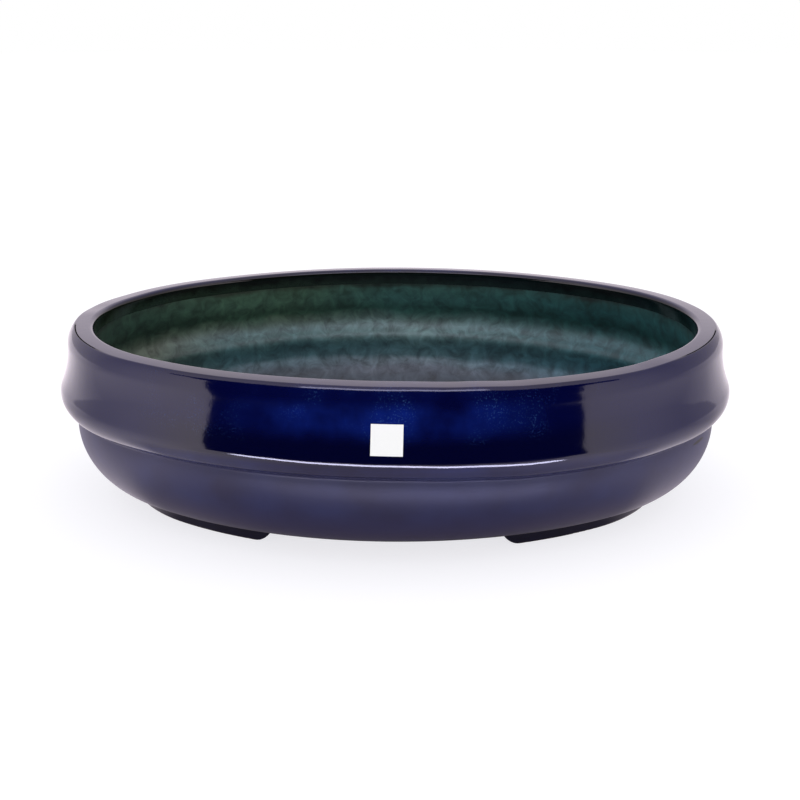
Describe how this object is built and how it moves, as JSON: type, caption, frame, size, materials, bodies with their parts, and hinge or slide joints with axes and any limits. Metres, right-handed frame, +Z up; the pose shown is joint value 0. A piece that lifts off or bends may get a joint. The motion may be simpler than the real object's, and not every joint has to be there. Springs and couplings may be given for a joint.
{
  "type": "oval bonsai pot",
  "caption": "Shallow oval glazed stoneware bonsai pot with a thick flat rim, a rounded belt that turns under to a crease, and low curved feet.",
  "frame": {"origin": "middle of the oval's plan, at the level that the feet stand on", "axes": "+X along the oval's length to the right, -Y towards the side with the paper label, +Z up"},
  "size_m": [0.311, 0.2508, 0.08],
  "materials": {
    "bare_clay": "matt unglazed stoneware",
    "blue_glaze": "gloss",
    "green_glaze": "gloss",
    "foot_glaze": "satin",
    "paper_label": "coated paper"
  },
  "bodies": {
    "root": {"clay_body": "bare_clay", "outer_glaze": "blue_glaze", "inner_glaze": "green_glaze", "foot_front_left": "foot_glaze", "foot_front_right": "foot_glaze", "foot_back_left": "foot_glaze", "foot_back_right": "foot_glaze", "label": "paper_label"}
  },
  "joints": []
}
